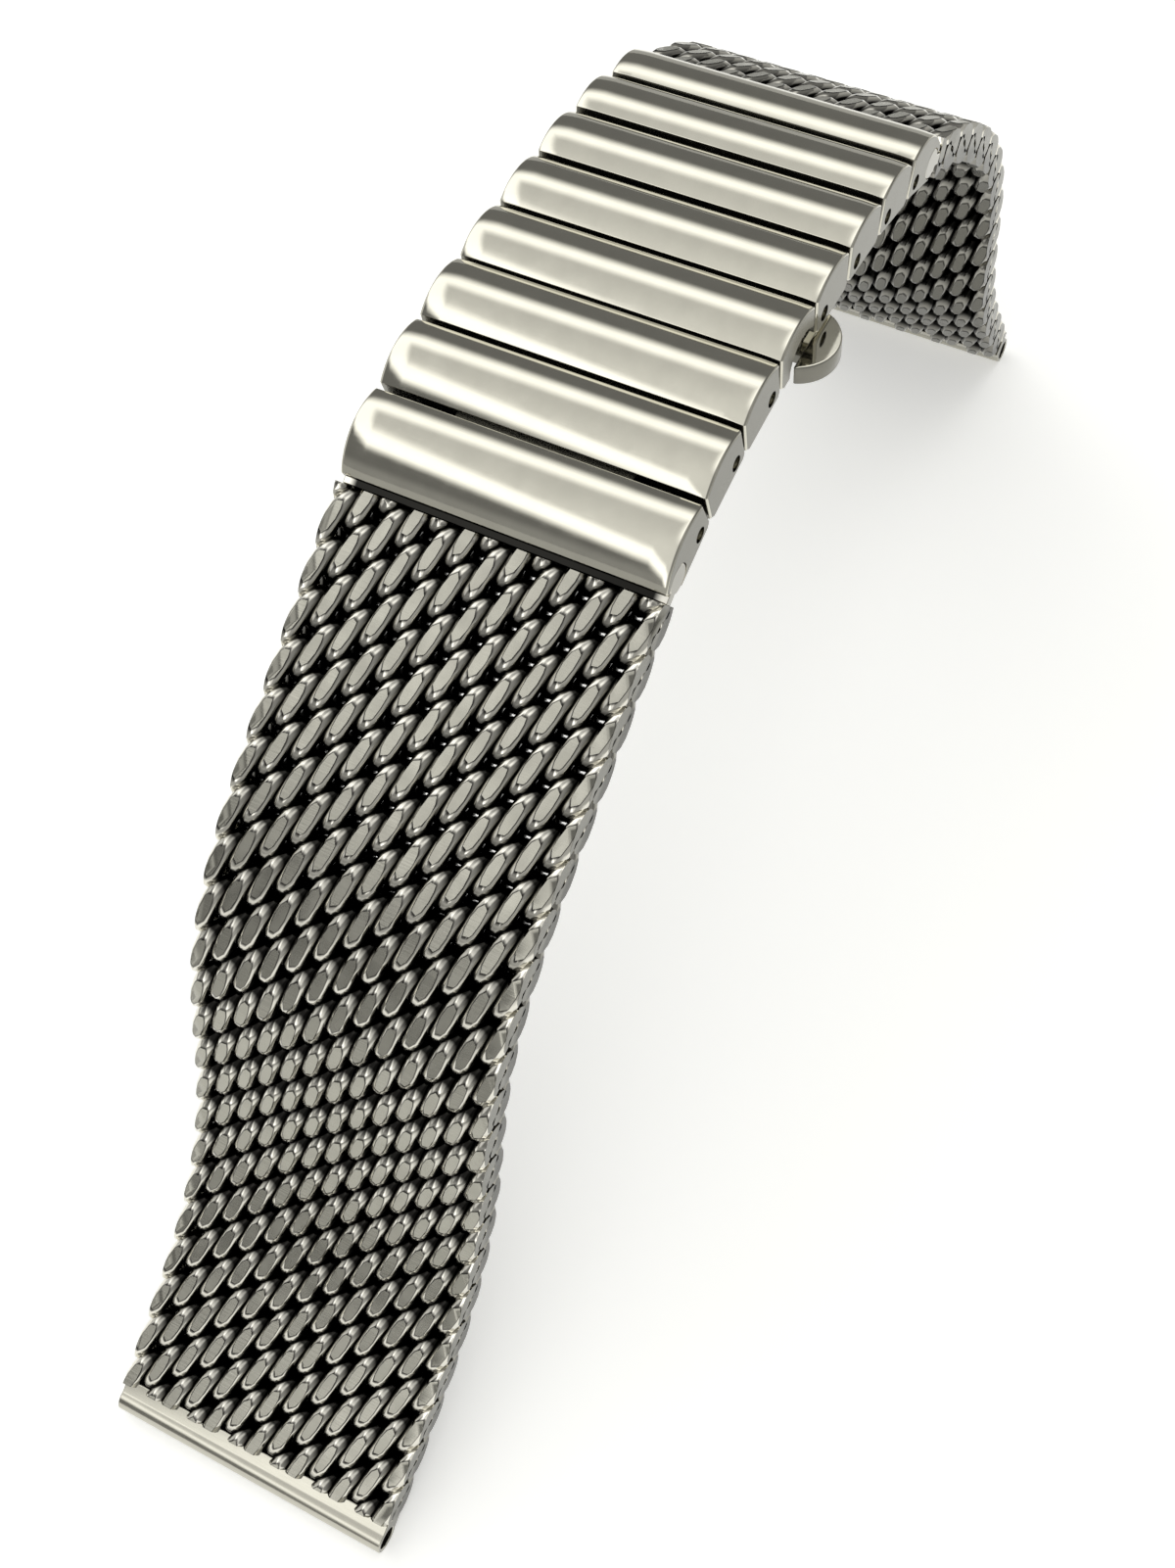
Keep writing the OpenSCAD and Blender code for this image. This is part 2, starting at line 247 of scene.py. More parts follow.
def circle(u, w, r, count=48, start=0.0, end=360.0, close=False):
    """Points round an arc in u and w."""
    steps = count if close else count - 1
    turn = math.radians(end - start)
    first = math.radians(start)
    return [(u + r * math.cos(first + turn * k / steps), w + r * math.sin(first + turn * k / steps))
            for k in range(count)]


def box(u0, u1, w0, w1):
    """Corners of a rectangle in u and w."""
    return [(u0, w0), (u1, w0), (u1, w1), (u0, w1)]


def combine(obj, tool, operation):
    """Joins a solid to obj or cuts it away, and removes it."""
    change = obj.modifiers.new(operation, "BOOLEAN")
    change.operation = operation
    change.solver = "MANIFOLD"
    change.object = tool
    bake(obj)
    mesh = tool.data
    bpy.data.objects.remove(tool)
    bpy.data.meshes.remove(mesh)


def shade(obj, angle=35.0):
    """Smooth shading in which large faces stay flat and edges over the angle stay sharp."""
    obj.data.shade_smooth()
    obj.data.set_sharp_from_angle(angle=math.radians(angle))
    weigh = obj.modifiers.new("normals", "WEIGHTED_NORMAL")
    weigh.keep_sharp = True
    weigh.weight = 80
    bake(obj)


def mark_ground_and_shade(obj, share):
    """Marks how far each face of a polished piece is ground and painted darker: share gives it from the normal."""
    # The mark sets both the ground finish and the painted shade in the colour
    marks = obj.data.attributes.new("ground_face", "FLOAT", "FACE")
    marks.data.foreach_set("value", [float(share(face.normal)) for face in obj.data.polygons])


def finish_piece(obj, material, body, nodes=()):
    """Gives a finished piece its material and body, and hides the CAD nodes in its place."""
    obj.data.materials.clear()
    obj.data.materials.append(material)
    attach(obj, body)
    if nodes:
        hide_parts(*nodes)


# Places, all taken from the frame's joints and bores

def joint_at(name):
    """A joint's place at rest."""
    return Vector(JOINTS[name]["pos_m"])


def bore_at(side):
    """The middle of a lug tube's bore."""
    mounts = {mount["name"]: mount for mount in frame["record"]["mounts"]}
    return Vector(mounts[side + "_spring_bar_bore"]["pos_m"])


def outward(along, side):
    """The direction out of the band's face, for a direction along the band."""
    return Vector((-along.z, 0.0, along.x)) * SIDES[side]


def link_place(side, number):
    """Matrix from a link's own frame to the row frame."""
    pin = joint_at(f"{side}_link_{number}_hinge")
    if number < LINKS:
        along = (joint_at(f"{side}_link_{number + 1}_hinge") - pin).normalized()
    else:
        to_bar = (joint_at(side + "_mesh_1_bend") - pin).normalized()
        turn = math.atan2(BAR_W, BAR_U)
        along = to_bar * math.cos(turn) - outward(to_bar, side) * math.sin(turn)
    out = outward(along, side)
    wide = out.cross(along)
    place = Matrix((along, wide, out)).transposed().to_4x4()
    return Matrix.Translation(pin) @ place


def centre_line(side):
    """Points of the mesh's smooth centre line, and the distance of each joint along it."""
    corners = [joint_at(f"{side}_mesh_{i + 1}_bend") for i in range(SEGMENTS[side])] + [bore_at(side)]
    middles = [(a + b) / 2 for a, b in zip(corners[:-1], corners[1:])]
    points = [corners[0], middles[0]]
    marks = [0]
    steps = 24
    for a, corner, b in zip(middles[:-1], corners[1:-1], middles[1:]):
        for k in range(1, steps + 1):
            t = k / steps
            points.append(a * (1 - t) ** 2 + corner * 2 * t * (1 - t) + b * t * t)
            if k == steps // 2:
                marks.append(len(points) - 1)
    points.append(corners[-1])
    walked = [0.0]
    for a, b in zip(points[:-1], points[1:]):
        walked.append(walked[-1] + (b - a).length)
    return points, [walked[mark] for mark in marks], walked[-1]


# Finishes

def steel(name, base, roughness, spread, grain, lines, bump, ground_and_shade_tone=1.0):
    """A metal with fine lines, whose roughness wanders by spread over patches as wide as grain.

    Faces marked as ground are duller, which is their ground finish, and darker by the given tone, which
    is painted shade: a darker reflection painted into their colour.
    """
    line_stretch = 0.08
    ground_dulling = 0.16
    relief_height = 0.02 * MM
    material = bpy.data.materials.new(name)
    material.use_nodes = True
    tree = material.node_tree
    tree.nodes.clear()
    place = add_node(tree, "ShaderNodeTexCoord")
    stretch = add_node(tree, "ShaderNodeMapping", {
        "Vector": place.outputs["Object"], "Scale": (1.0, line_stretch, 1.0)})
    wander = add_node(tree, "ShaderNodeTexNoise", {
        "Vector": place.outputs["Object"], "Scale": 1.0 / grain, "Detail": 3.0})
    lined = add_node(tree, "ShaderNodeTexNoise", {
        "Vector": stretch, "Scale": 1.0 / lines, "Detail": 2.0})
    mixed = add_node(tree, "ShaderNodeMath", {0: wander, 1: lined}, operation="MULTIPLY")
    rough = add_node(tree, "ShaderNodeMapRange", {
        "Value": mixed, "From Min": 0.1, "From Max": 0.45,
        "To Min": roughness - spread, "To Max": roughness + spread})
    tint = add_node(tree, "ShaderNodeMapRange", {
        "Value": wander, "From Min": 0.3, "From Max": 0.7, "To Min": 0.94, "To Max": 1.0})
    # Painted shade: faces marked as ground are darkened in colour, beside their real duller finish
    if ground_and_shade_tone < 1.0:
        ground = add_node(tree, "ShaderNodeAttribute", attribute_name="ground_face")
        ground_and_shade = add_node(tree, "ShaderNodeMapRange", {
            "Value": ground.outputs["Fac"], "To Min": 1.0, "To Max": ground_and_shade_tone})
        tint = add_node(tree, "ShaderNodeMath", {0: tint, 1: ground_and_shade}, operation="MULTIPLY")
        dulled = add_node(tree, "ShaderNodeMath", {
            0: ground.outputs["Fac"], 1: ground_dulling}, operation="MULTIPLY")
        rough = add_node(tree, "ShaderNodeMath", {0: rough, 1: dulled}, operation="ADD")
    coloured = add_node(tree, "ShaderNodeVectorMath", {0: tuple(base), "Scale": tint}, operation="SCALE")
    relief = add_node(tree, "ShaderNodeBump", {
        "Height": lined, "Strength": bump, "Distance": relief_height})
    surface = add_node(tree, "ShaderNodeBsdfPrincipled", {
        "Base Color": coloured, "Metallic": 1.0, "Roughness": rough, "Normal": relief})
    add_node(tree, "ShaderNodeOutputMaterial", {"Surface": surface})
    return material


def polished_steel():
    """Mirror polished stainless steel, buffed across the band: clear reflections, the faintest lines.

    Faces that are only ground, such as the links' ends, are duller, and their colour is painted darker
    to plain mid grey: painted shade, a darker reflection.
    """
    return steel("Mirror polished steel", bpy.context.scene.band_colours.polished, roughness=0.09,
                 spread=0.03, grain=1.5 * MM, lines=0.12 * MM, bump=0.03, ground_and_shade_tone=0.32)


def satin_steel():
    """Stainless steel sheet, tumbled satin: soft reflections with fine grain."""
    return steel("Satin steel", bpy.context.scene.band_colours.satin, roughness=0.28,
                 spread=0.06, grain=1.2 * MM, lines=0.1 * MM, bump=0.15)


def turned_steel():
    """Turned pin steel: greyer, with fine turning marks that read as a soft sheen."""
    return steel("Turned steel", bpy.context.scene.band_colours.pin, roughness=0.25,
                 spread=0.05, grain=0.6 * MM, lines=0.08 * MM, bump=0.1)


def drawn_steel():
    """Hard drawn spring wire: dark, with a dull drawn sheen."""
    return steel("Drawn spring wire", bpy.context.scene.band_colours.spring, roughness=0.38,
                 spread=0.06, grain=0.5 * MM, lines=0.06 * MM, bump=0.1)


def woven_steel():
    """Coiled stainless wire, polished and then ground flat on its faces and sides.

    The round wire is bright and its ground flats are a little duller, with grinding lines. Shade is
    painted into its colour: a thin dark line round each flat, darker with its depth between the coils
    but lighter again near the band's open sides, darker on the mesh's ground sides, and darker towards
    the mesh's inner face, which looks duller in the photograph.
    """
    # Painted shade: the wire's colour darkens from the first depth down to nearly black below it, for the shadow
    # between the coils
    dark_depth, bright_depth, deep_shade_tone = 1.0 * MM, 1.4 * MM, 0.02
    rim_from, rim_to, rim_shade_tone = 1.34 * MM, 1.38 * MM, 0.12
    side_shade_tone, inner_below, inner_shade_tone = 0.5, -0.5 * MM, 0.42
    wire_rough, flat_rough, flat_relief = 0.09, 0.26, 0.35
    colours = bpy.context.scene.band_colours
    material = bpy.data.materials.new("Woven polished wire")
    material.use_nodes = True
    tree = material.node_tree
    tree.nodes.clear()
    flat = add_node(tree, "ShaderNodeAttribute", attribute_name="flat_place")
    ground = add_node(tree, "ShaderNodeAttribute", attribute_name="ground")
    height = add_node(tree, "ShaderNodeSeparateXYZ", {"Vector": flat.outputs["Vector"]})
    depth = add_node(tree, "ShaderNodeMath", {0: height.outputs["Z"]}, operation="ABSOLUTE")
    beside = add_node(tree, "ShaderNodeMath", {0: height.outputs["Y"]}, operation="ABSOLUTE")
    # Painted shade: darker with depth between the coils, where shadow falls
    buffed = add_node(tree, "ShaderNodeMapRange", {
        "Value": depth, "From Min": dark_depth, "From Max": bright_depth,
        "To Min": deep_shade_tone, "To Max": 1.0}, interpolation_type="SMOOTHSTEP")
    open_side = add_node(tree, "ShaderNodeMapRange", {
        "Value": beside, "From Min": HALF_WIDTH - 1.0 * MM, "From Max": HALF_WIDTH - 0.3 * MM},
        interpolation_type="SMOOTHSTEP")
    # reach gathers the painted shade: full brightness near the band's open sides, then darkened by the painted
    # line, side shade and inner shade
    reach = add_node(tree, "ShaderNodeMath", {0: buffed, 1: open_side}, operation="MAXIMUM")
    # Painted shade: a thin dark line on the round wire just below each ground flat's edge
    painted_rim_line = add_node(tree, "ShaderNodeMapRange", {
        "Value": depth, "From Min": rim_from, "From Max": rim_to, "To Min": 1.0, "To Max": rim_shade_tone})
    rim = add_node(tree, "ShaderNodeMath", {0: painted_rim_line, 1: ground.outputs["Fac"]}, operation="MAXIMUM")
    reach = add_node(tree, "ShaderNodeMath", {0: reach, 1: rim}, operation="MULTIPLY")
    # Painted shade: the mesh's ground sides are painted at half brightness
    painted_side_shade = add_node(tree, "ShaderNodeMapRange", {
        "Value": beside, "From Min": HALF_WIDTH - 0.02 * MM, "From Max": HALF_WIDTH - 0.01 * MM,
        "To Min": 1.0, "To Max": side_shade_tone})
    # Painted shade: darker towards the mesh's inner face, for the shade inside the arch
    painted_inner_shade = add_node(tree, "ShaderNodeMapRange", {
        "Value": height.outputs["Z"], "From Min": 0.0, "From Max": inner_below,
        "To Min": 1.0, "To Max": inner_shade_tone})
    painted_face_shade = add_node(tree, "ShaderNodeMath", {0: painted_side_shade, 1: painted_inner_shade}, operation="MULTIPLY")
    reach = add_node(tree, "ShaderNodeMath", {0: reach, 1: painted_face_shade}, operation="MULTIPLY")
    grind = add_node(tree, "ShaderNodeMapping", {
        "Vector": flat.outputs["Vector"], "Scale": (1.0, 0.06, 1.0)})
    lines = add_node(tree, "ShaderNodeTexNoise", {
        "Vector": grind, "Scale": 1.0 / (0.12 * MM), "Detail": 2.0})
    patches = add_node(tree, "ShaderNodeTexNoise", {
        "Vector": flat.outputs["Vector"], "Scale": 1.0 / (2.0 * MM), "Detail": 2.0})
    mix = add_node(tree, "ShaderNodeMix", {
        0: ground.outputs["Fac"], 6: (*colours.wire, 1.0), 7: (*colours.ground, 1.0)}, data_type="RGBA")
    # The wire's colour with the painted shade in it
    shaded_colour = add_node(tree, "ShaderNodeVectorMath", {0: mix.outputs[2], "Scale": reach}, operation="SCALE")
    dull = add_node(tree, "ShaderNodeMapRange", {
        "Value": ground.outputs["Fac"], "To Min": wire_rough, "To Max": flat_rough})
    wander = add_node(tree, "ShaderNodeMapRange", {
        "Value": patches, "From Min": 0.3, "From Max": 0.7, "To Min": 0.8, "To Max": 1.2})
    rough = add_node(tree, "ShaderNodeMath", {0: dull, 1: wander}, operation="MULTIPLY")
    strength = add_node(tree, "ShaderNodeMath", {
        0: ground.outputs["Fac"], 1: flat_relief}, operation="MULTIPLY")
    relief = add_node(tree, "ShaderNodeBump", {
        "Height": lines, "Strength": strength, "Distance": 0.02 * MM})
    surface = add_node(tree, "ShaderNodeBsdfPrincipled", {
        "Base Color": shaded_colour, "Metallic": 1.0, "Roughness": rough, "Normal": relief})
    add_node(tree, "ShaderNodeOutputMaterial", {"Surface": surface})
    return material


FINISHES = {
    "polished_link": polished_steel,
    "clasp_steel": satin_steel,
    "pin_steel": turned_steel,
    "spring_steel": drawn_steel,
    "woven_mesh": woven_steel,
}
made_finishes = {}


def finish_of(slot):
    """The material of a finish, made once."""
    if slot not in made_finishes:
        made_finishes[slot] = FINISHES[slot]()
    return made_finishes[slot]


# Links

def link_outline(right, inset, drop):
    """A link's end in u and w, inset all round and with its crown lowered by drop."""
    sizes = bpy.context.scene.band_sizes
    big = CROWN_R - inset
    middle = CROWN_W - drop
    left_u, right_u, low = LINK_LEFT + inset, right - inset, LINK_LOW + inset
    small = max(sizes.link_edge - inset, SMALLEST_EDGE)
    chamfer = LINK_CHAMFER - (2 - math.sqrt(2)) * inset
    points = [(left_u, low + chamfer), (left_u + chamfer, low),
              (right_u - chamfer, low), (right_u, low + chamfer)]
    angles = []
    for edge in (right_u - small, left_u + small):
        rise = math.sqrt((big - small) ** 2 - (edge - CROWN_U) ** 2)
        angles.append((edge, middle + rise, math.degrees(math.atan2(rise, edge - CROWN_U))))
    (right_c, right_w, right_a), (left_c, left_w, left_a) = angles
    points += circle(right_c, right_w, small, 6, 0.0, right_a)
    points += circle(CROWN_U, middle, big, 26, right_a, left_a)[1:-1]
    points += circle(left_c, left_w, small, 6, left_a, 180.0)
    return points


def link_solid(name, right):
    """A bar link across the band with a crowned top, buffed ends and rounded end rims."""
    sizes = bpy.context.scene.band_sizes
    roll, end = sizes.link_roll, sizes.link_end
    fall_steps, rim_steps = 5, 4
    stations = [(HALF_WIDTH - roll, 0.0, 0.0)]
    for k in range(1, fall_steps + 1):
        t = k / fall_steps
        stations.append((HALF_WIDTH - roll + (roll - end) * t, 0.0, sizes.link_fall * t * t))
    for k in range(1, rim_steps + 1):
        turn = math.radians(90 * k / rim_steps)
        inset = end * (1 - math.cos(turn))
        stations.append((HALF_WIDTH - end * (1 - math.sin(turn)), inset, sizes.link_fall))
    rings = [[(u, y, w) for u, w in link_outline(right, inset, drop)] for y, inset, drop in stations]
    mirrored = [[(u, -y, w) for u, y, w in ring] for ring in reversed(rings)]
    return skin(name, mirrored + rings)


def tongue():
    """The tongue by which a link turns on the next link's pin."""
    reach = math.degrees(math.asin(TONGUE_HALF / TONGUE_R))
    outline = [(LINK_RIGHT - TONGUE_ROOT, -TONGUE_HALF)]
    outline += circle(LINK_PITCH, 0.0, TONGUE_R, 24, -reach, reach)
    outline += [(LINK_RIGHT - TONGUE_ROOT, TONGUE_HALF)]
    return across("tongue", outline, -TONGUE_WIDTH / 2, TONGUE_WIDTH / 2)


def right_through(name, outline):
    """A cutting solid with this outline, across the whole band and past its sides."""
    return across(name, outline, -CUT_HALF, CUT_HALF)


def both_sides(name, outline, y0, y1):
    """Two equal solids, one on each side of the band's middle."""
    return [across(name, outline, y0, y1), across(name, outline, -y1, -y0)]


def make_link(side, number):
    """One polished bar link."""
    sizes = bpy.context.scene.band_sizes
    last = number == LINKS
    obj = link_solid(f"{side}_bar_{number}", LIP_END if last else LINK_RIGHT)
    cuts = []
    if last:
        cuts.append(right_through("groove", circle(BAR_U, BAR_W, BAR_R + GROOVE_CLEAR, 64, close=True)))
        cuts.append(right_through("under_lip", box(BAR_U, LIP_END + MM, LINK_LOW - MM, LIP_UNDER)))
    else:
        combine(obj, tongue(), "UNION")
        cuts.append(right_through("next_pin", circle(LINK_PITCH, 0.0, sizes.pin_hole, close=True)))
    if number > 1:
        half = (TONGUE_WIDTH + SLOT_CLEAR) / 2
        room = TONGUE_R + SLOT_CLEAR
        cuts.append(across("slot", box(LINK_LEFT - MM, room, LINK_LOW - MM, room), -half, half))
    else:
        round_room = circle(NOTCH_U, NOTCH_W, NOTCH_R, 64, close=True)
        lead = box(LINK_LEFT - MM, NOTCH_LEAD_U, LINK_LOW - MM, NOTCH_LEAD)
        for outline in (round_room, lead):
            cuts += both_sides("notch", outline, NOTCH_IN, NOTCH_OUT[side])
    cuts.append(right_through("pin_hole", circle(0.0, 0.0, sizes.pin_hole, close=True)))
    for cut in cuts:
        combine(obj, cut, "DIFFERENCE")
    place = link_place(side, number)
    along = place.to_3x3().col[0]
    obj.data.transform(place)
    shade(obj)
    # Ends and cut faces are ground, and painted darker in colour: painted shade
    mark_ground_and_shade(obj, lambda normal: max(abs(normal.y), abs(normal.dot(along))) > SQUARE_ON)
    finish_piece(obj, finish_of("polished_link"), f"{side}_link_{number}",
                 [f"{side}_link_{number}"])


def make_pin(name, place, radius, half, body, node):
    """A turned pin with chamfered, slightly domed ends."""
    chamfer, dome = 0.12 * MM, 0.04 * MM
    stations = [(half + dome, radius * 0.2), (half + dome * 0.7, radius * 0.5),
                (half, radius - chamfer), (half - chamfer, radius)]
    rings = [[(u, -y, w) for u, w in circle(0, 0, r, 32, close=True)] for y, r in stations]
    rings += [[(u, y, w) for u, w in circle(0, 0, r, 32, close=True)] for y, r in reversed(stations)]
    obj = skin(name, rings)
    obj.data.transform(Matrix.Translation(place))
    shade(obj)
    finish_piece(obj, finish_of("pin_steel"), body, [node])


# Copies of the CAD's own parts, with softened edges

def dressed(node, name, body, edge, slot, segments=2):
    """A merged copy of a CAD part with its edges softened."""
    merge, flat_angle, edge_angle = 0.0005 * MM, math.radians(0.5), math.radians(40)
    mesh = frame["nodes"][node].data.copy()
    shape = bmesh.new()
    shape.from_mesh(mesh)
    bmesh.ops.remove_doubles(shape, verts=shape.verts, dist=merge)
    bmesh.ops.dissolve_limit(shape, angle_limit=flat_angle, verts=shape.verts, edges=shape.edges)
    shape.to_mesh(mesh)
    shape.free()
    obj = put(name, mesh)
    soften = obj.modifiers.new("edges", "BEVEL")
    soften.width = edge
    soften.segments = segments
    soften.limit_method = "ANGLE"
    soften.angle_limit = edge_angle
    soften.use_clamp_overlap = True
    bake(obj)
    shade(obj)
    finish_piece(obj, finish_of(slot), body, [node])
    return obj


# Mesh coils

COIL_INPUTS = (
    ("Centre Line", "NodeSocketGeometry"),
    ("First Coil", "NodeSocketFloat"),
    ("Coil Count", "NodeSocketInt"),
    ("Shifted First", "NodeSocketInt"),
    ("Coil Pitch", "NodeSocketFloat"),
    ("Turn Length", "NodeSocketFloat"),
    ("Wire Radius", "NodeSocketFloat"),
    ("Loop Reach", "NodeSocketFloat"),
    ("Loop Half Height", "NodeSocketFloat"),
    ("Ground Half Height", "NodeSocketFloat"),
    ("Half Width", "NodeSocketFloat"),
    ("Start Cut", "NodeSocketFloat"),
    ("End Cut", "NodeSocketFloat"),
    ("Across", "NodeSocketVector"),
    ("Turn Steps", "NodeSocketInt"),
    ("Wire Sides", "NodeSocketInt"),
    ("Steel", "NodeSocketMaterial"),
)


def coil_tree():
    """The tree that winds flattened coils, grinds them flat and bends them along a centre line."""
    tree = bpy.data.node_groups.new("Woven coils", "GeometryNodeTree")
    for name, kind in COIL_INPUTS:
        tree.interface.new_socket(name=name, in_out="INPUT", socket_type=kind)
    tree.interface.new_socket(name="Coils", in_out="OUTPUT", socket_type="NodeSocketGeometry")
    given = add_node(tree, "NodeGroupInput").outputs

    def math_node(operation, a, b=0.0):
        return add_node(tree, "ShaderNodeMath", {0: a, 1: b}, operation=operation)

    # One coil's wire: a flattened helix across the band, a little longer than the band is wide.
    # A squareness below 1 makes its loops squarer than an ellipse.
    first_turn, turns, quarter = -3.7, 8.0, 0.25
    squareness_along, squareness_up = 0.8, 0.75
    points = math_node("MULTIPLY_ADD", given["Turn Steps"], turns)
    points.inputs[2].default_value = 1.0
    line = add_node(tree, "GeometryNodeCurvePrimitiveLine")
    wire = add_node(tree, "GeometryNodeResampleCurve", {"Curve": line, "Count": points})
    index = add_node(tree, "GeometryNodeInputIndex")
    turned = math_node("ADD", math_node("DIVIDE", index, given["Turn Steps"]), first_turn)
    angle = math_node("MULTIPLY", turned, 2 * math.pi)
    flattened = []
    waves = (("COSINE", given["Loop Reach"], squareness_along),
             ("SINE", given["Loop Half Height"], squareness_up))
    for wave, size, squareness in waves:
        value = math_node(wave, angle)
        squared = math_node("POWER", math_node("ABSOLUTE", value), squareness)
        signed = math_node("MULTIPLY", math_node("SIGN", value), squared)
        flattened.append(math_node("MULTIPLY", signed, size))
    advance = math_node("MULTIPLY", math_node("SUBTRACT", turned, quarter), given["Turn Length"])
    helix = add_node(tree, "ShaderNodeCombineXYZ", {"X": flattened[0], "Y": advance, "Z": flattened[1]})
    wound = add_node(tree, "GeometryNodeSetPosition", {"Geometry": wire, "Position": helix})
    ring = add_node(tree, "GeometryNodeCurvePrimitiveCircle", {
        "Resolution": given["Wire Sides"], "Radius": given["Wire Radius"]})
    coil = add_node(tree, "GeometryNodeCurveToMesh", {
        "Curve": wound, "Profile Curve": ring, "Fill Caps": True})

    # Coils side by side, every second one shifted by half a turn
    odd = math_node("MODULO", math_node("ADD", index, given["Shifted First"]), 2.0)
    shift = math_node("MULTIPLY", odd, math_node("MULTIPLY", given["Turn Length"], 0.5))
    reach = math_node("MULTIPLY_ADD", index, given["Coil Pitch"])
    tree.links.new(given["First Coil"], reach.inputs[2])
    spot = add_node(tree, "ShaderNodeCombineXYZ", {"X": reach, "Y": shift})
    spots = add_node(tree, "GeometryNodePoints", {"Count": given["Coil Count"], "Position": spot})
    rows = add_node(tree, "GeometryNodeInstanceOnPoints", {"Points": spots, "Instance": coil})
    rows = add_node(tree, "GeometryNodeRealizeInstances", {"Geometry": rows})

    # Ground flat on both faces and both sides, and cut at the mesh's ends
    span = math_node("SUBTRACT", given["End Cut"], given["Start Cut"])
    wide = math_node("MULTIPLY", given["Half Width"], 2.0)
    thick = math_node("MULTIPLY", given["Ground Half Height"], 2.0)
    size = add_node(tree, "ShaderNodeCombineXYZ", {"X": span, "Y": wide, "Z": thick})
    block = add_node(tree, "GeometryNodeMeshCube", {"Size": size})
    middle = math_node("MULTIPLY", math_node("ADD", given["End Cut"], given["Start Cut"]), 0.5)
    moved = add_node(tree, "ShaderNodeCombineXYZ", {"X": middle})
    block = add_node(tree, "GeometryNodeTransform", {"Geometry": block, "Translation": moved})
    rows = add_node(tree, "GeometryNodeMeshBoolean", {"Mesh": [rows, block]},
                    operation="INTERSECT", solver="MANIFOLD")

    # Which faces are ground, and where each point stood before the bend, are kept for the finish.
    # The edge between a ground and a round face stays sharp.
    place = add_node(tree, "GeometryNodeInputPosition")
    apart = add_node(tree, "ShaderNodeSeparateXYZ", {"Vector": place})
    slack = 0.001 * MM
    flats = []
    for axis, limit in (("Z", given["Ground Half Height"]), ("Y", given["Half Width"])):
        over = math_node("SUBTRACT", math_node("ABSOLUTE", apart.outputs[axis]), limit)
        flats.append(math_node("GREATER_THAN", over, -slack))
    flat = math_node("MAXIMUM", flats[0], flats[1])
    rows = add_node(tree, "GeometryNodeStoreNamedAttribute", {
        "Geometry": rows, "Name": "ground", "Value": flat}, data_type="FLOAT", domain="FACE")
    rows = add_node(tree, "GeometryNodeStoreNamedAttribute", {
        "Geometry": rows, "Name": "flat_place", "Value": place}, data_type="FLOAT_VECTOR", domain="POINT")
    known = add_node(tree, "GeometryNodeInputNamedAttribute", {"Name": "ground"}, data_type="FLOAT")
    rim = math_node("COMPARE", known, 0.5)
    rim.inputs[2].default_value = 0.3
    rows = add_node(tree, "GeometryNodeSetShadeSmooth", {
        "Geometry": rows, "Shade Smooth": True}, domain="FACE")
    rows = add_node(tree, "GeometryNodeSetShadeSmooth", {
        "Geometry": rows, "Selection": rim, "Shade Smooth": False}, domain="EDGE")

    # Bent along the centre line
    curve = add_node(tree, "GeometryNodeMeshToCurve", {"Mesh": given["Centre Line"]})
    where = add_node(tree, "GeometryNodeSampleCurve", {
        "Curves": curve, "Length": apart.outputs["X"]}, mode="LENGTH")
    side_step = add_node(tree, "ShaderNodeVectorMath", {0: given["Across"], "Scale": apart.outputs["Y"]},
                         operation="SCALE")
    up = add_node(tree, "ShaderNodeVectorMath", {0: where.outputs["Tangent"], 1: given["Across"]},
                  operation="CROSS_PRODUCT")
    rise = add_node(tree, "ShaderNodeVectorMath", {0: up, "Scale": apart.outputs["Z"]}, operation="SCALE")
    steps = add_node(tree, "ShaderNodeVectorMath", {0: side_step, 1: rise}, operation="ADD")
    bent = add_node(tree, "ShaderNodeVectorMath", {0: where.outputs["Position"], 1: steps}, operation="ADD")
    rows = add_node(tree, "GeometryNodeSetPosition", {"Geometry": rows, "Position": bent})
    rows = add_node(tree, "GeometryNodeRealizeInstances", {"Geometry": rows})
    rows = add_node(tree, "GeometryNodeSetMaterial", {"Geometry": rows, "Material": given["Steel"]})
    add_node(tree, "NodeGroupOutput", {"Coils": rows})
    return tree


def grown(name, tree, base, values):
    """A plain mesh object that the tree makes from base's mesh with these inputs."""
    maker = put(name, base.copy())
    change = maker.modifiers.new("tree", "NODES")
    change.node_group = tree
    for item in tree.interface.items_tree:
        if item.item_type == "SOCKET" and item.in_out == "INPUT" and item.name in values:
            change[item.identifier] = values[item.name]
    bake(maker)
    return maker


def coil_groups(marks, end, first, pitch):
    """Coil numbers for each segment and each joint, by distance along the mesh.

    The coils next to a joint go with the joint.
    """
    count = int((end + COIL_PAST_END - first) / pitch) + 1
    groups = {}
    for k in range(count):
        at = first + k * pitch
        near = min(range(len(marks)), key=lambda i: abs(marks[i] - at))
        if near > 0 and abs(marks[near] - at) < pitch:
            key = ("joint", near + 1)
        else:
            segment = max(i for i in range(len(marks)) if marks[i] <= at or i == 0) + 1
            key = ("segment", segment)
        groups.setdefault(key, []).append(k)
    return groups


